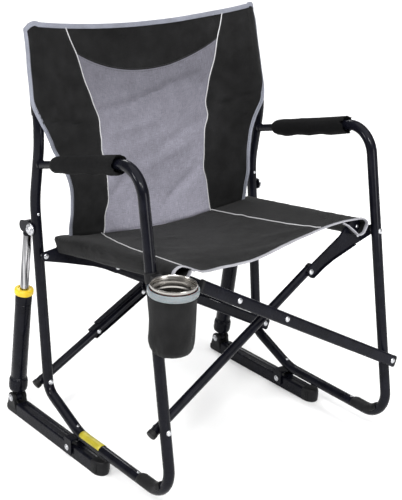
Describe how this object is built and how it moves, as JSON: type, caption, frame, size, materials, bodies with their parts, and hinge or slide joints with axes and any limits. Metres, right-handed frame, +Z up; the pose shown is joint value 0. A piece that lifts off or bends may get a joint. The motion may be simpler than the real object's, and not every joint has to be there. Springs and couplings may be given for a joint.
{
  "type": "camp rocking chair",
  "caption": "Folding camp chair with padded arms, a cup holder and short rockers braced by gas springs, so it rocks back on flat floor bars.",
  "frame": {"origin": "centre of the base of the bounding box, on the floor", "axes": "+Z up, the sitter faces -Y, +X is the sitter's left"},
  "size_m": [0.6608, 0.6294, 0.884],
  "materials": {
    "black_steel": "gloss black powder coat",
    "silver_steel": "bright zinc-plated steel",
    "polished_rod": "polished",
    "black_plastic": "moulded, fine grain",
    "yellow_plastic": "satin",
    "grey_plastic": "satin",
    "black_cloth": "coarse woven polyester",
    "pad_cloth": "stitched cover over foam"
  },
  "bodies": {
    "left_frame": {"left_side_tube": "black_steel", "left_arm_pad": "pad_cloth", "left_front_foot": "black_plastic", "left_yoke": "black_steel", "left_rocker_pin": "silver_steel", "left_spring_bracket": "black_steel", "left_bracket_bolt": "silver_steel", "front_left_low_pin": "silver_steel", "front_left_high_pin": "silver_steel", "rear_left_low_pin": "silver_steel", "rear_left_high_pin": "silver_steel", "seat_fabric": "black_cloth", "back_fabric": "black_cloth"},
    "front_flat_bar": {"front_flat_bar": "black_steel", "front_cross_pin": "silver_steel"},
    "front_round_bar": {"front_round_bar": "black_steel"},
    "right_frame": {"right_side_tube": "black_steel", "right_arm_pad": "pad_cloth", "right_front_foot": "black_plastic", "right_yoke": "black_steel", "right_rocker_pin": "silver_steel", "right_spring_bracket": "black_steel", "right_bracket_bolt": "silver_steel", "front_right_low_pin": "silver_steel", "front_right_high_pin": "silver_steel", "rear_right_low_pin": "silver_steel", "rear_right_high_pin": "silver_steel", "cup_ring": "grey_plastic", "cup_sleeve": "black_cloth"},
    "rear_flat_bar": {"rear_flat_bar": "black_steel", "rear_cross_pin": "silver_steel"},
    "rear_round_bar": {"rear_round_bar": "black_steel", "rear_bar_channel": "black_steel"},
    "left_links": {"front_left_link": "black_steel", "rear_left_link": "black_steel", "left_seat_rail": "black_steel", "front_left_knee_pin": "silver_steel", "rear_left_knee_pin": "silver_steel"},
    "right_links": {"front_right_link": "black_steel", "rear_right_link": "black_steel", "right_seat_rail": "black_steel", "front_right_knee_pin": "silver_steel", "rear_right_knee_pin": "silver_steel"},
    "left_rocker": {"left_rocker_bar": "black_steel", "left_rocker_nose": "black_plastic", "left_rocker_heel": "black_plastic", "left_heel_pin": "silver_steel"},
    "right_rocker": {"right_rocker_bar": "black_steel", "right_rocker_nose": "black_plastic", "right_rocker_heel": "black_plastic", "right_heel_pin": "silver_steel"},
    "left_rod": {"left_spring_rod": "polished_rod"},
    "right_rod": {"right_spring_rod": "polished_rod"},
    "left_spring": {"left_spring_body": "black_steel", "left_spring_collar": "yellow_plastic"},
    "right_spring": {"right_spring_body": "black_steel", "right_spring_collar": "yellow_plastic"}
  },
  "joints": [
    {"name": "fold", "type": "hinge", "parent": "left_frame", "child": "front_flat_bar", "pos_m": [0.3066, -0.27713, 0.19287], "axis": [0, 0.9885, -0.1513], "range_deg": [0, 52.7], "deforming": ["seat_fabric", "back_fabric"]},
    {"name": "front_cross", "type": "hinge", "parent": "front_flat_bar", "child": "front_round_bar", "pos_m": [0.0116, -0.25293, 0.35103], "axis": [0, 0.9885, -0.1513], "range_deg": [-105.4, 0]},
    {"name": "right_frame_pivot", "type": "hinge", "parent": "front_round_bar", "child": "right_frame", "pos_m": [-0.2834, -0.25687, 0.18977], "axis": [0, 0.9885, -0.1513], "range_deg": [0, 52.7]},
    {"name": "rear_bar_pivot", "type": "hinge", "parent": "left_frame", "child": "rear_flat_bar", "pos_m": [0.3066, 0.13458, 0.12987], "axis": [0, 0.9885, -0.1513], "range_deg": [0, 52.7]},
    {"name": "rear_cross", "type": "hinge", "parent": "rear_flat_bar", "child": "rear_round_bar", "pos_m": [0.0116, 0.15878, 0.28803], "axis": [0, 0.9885, -0.1513], "range_deg": [-105.4, 0]},
    {"name": "left_links_pivot", "type": "hinge", "parent": "left_frame", "child": "left_links", "pos_m": [0.3066, -0.18525, 0.46409], "axis": [0, 0.9885, -0.1513], "range_deg": [0, 97.97]},
    {"name": "right_links_pivot", "type": "hinge", "parent": "right_frame", "child": "right_links", "pos_m": [-0.2834, -0.18525, 0.46409], "axis": [0, 0.9885, -0.1513], "range_deg": [-97.97, 0]},
    {"name": "left_rock", "type": "hinge", "parent": "left_frame", "child": "left_rocker", "pos_m": [0.3066, 0.05667, 0.02], "axis": [1, 0, 0], "range_deg": [0, 12], "stiffness_Nm_per_rad": 30, "springref_deg": -11.46},
    {"name": "right_rock", "type": "hinge", "parent": "right_frame", "child": "right_rocker", "pos_m": [-0.2834, 0.05667, 0.02], "axis": [1, 0, 0], "range_deg": [0, 12], "stiffness_Nm_per_rad": 30, "springref_deg": -11.46},
    {"name": "left_rod_swing", "type": "hinge", "parent": "left_frame", "child": "left_rod", "pos_m": [0.3066, 0.23967, 0.46], "axis": [1, 0, 0], "range_deg": [-0.145, 0]},
    {"name": "left_spring_slide", "type": "slide", "parent": "left_rod", "child": "left_spring", "axis": [0, -0.1283, 0.9917], "range_m": [0, 0.04981]},
    {"name": "right_rod_swing", "type": "hinge", "parent": "right_frame", "child": "right_rod", "pos_m": [-0.2834, 0.23967, 0.46], "axis": [1, 0, 0], "range_deg": [-0.145, 0]},
    {"name": "right_spring_slide", "type": "slide", "parent": "right_rod", "child": "right_spring", "axis": [0, -0.1283, 0.9917], "range_m": [0, 0.04981]}
  ],
  "couplings": [
    {"joint": "front_cross", "follows": "fold", "ratio": -2},
    {"joint": "right_frame_pivot", "follows": "fold", "ratio": 1},
    {"joint": "rear_bar_pivot", "follows": "fold", "ratio": 1},
    {"joint": "rear_cross", "follows": "fold", "ratio": -2},
    {"joint": "left_links_pivot", "follows": "fold", "ratio": 1.859},
    {"joint": "right_links_pivot", "follows": "fold", "ratio": -1.859},
    {"joint": "right_rock", "follows": "left_rock", "ratio": 1},
    {"joint": "left_rod_swing", "follows": "left_rock", "ratio": -0.012},
    {"joint": "left_spring_slide", "follows": "left_rock", "m_per_rad": 0.2378},
    {"joint": "right_rod_swing", "follows": "left_rock", "ratio": -0.012},
    {"joint": "right_spring_slide", "follows": "left_rock", "m_per_rad": 0.2378}
  ]
}
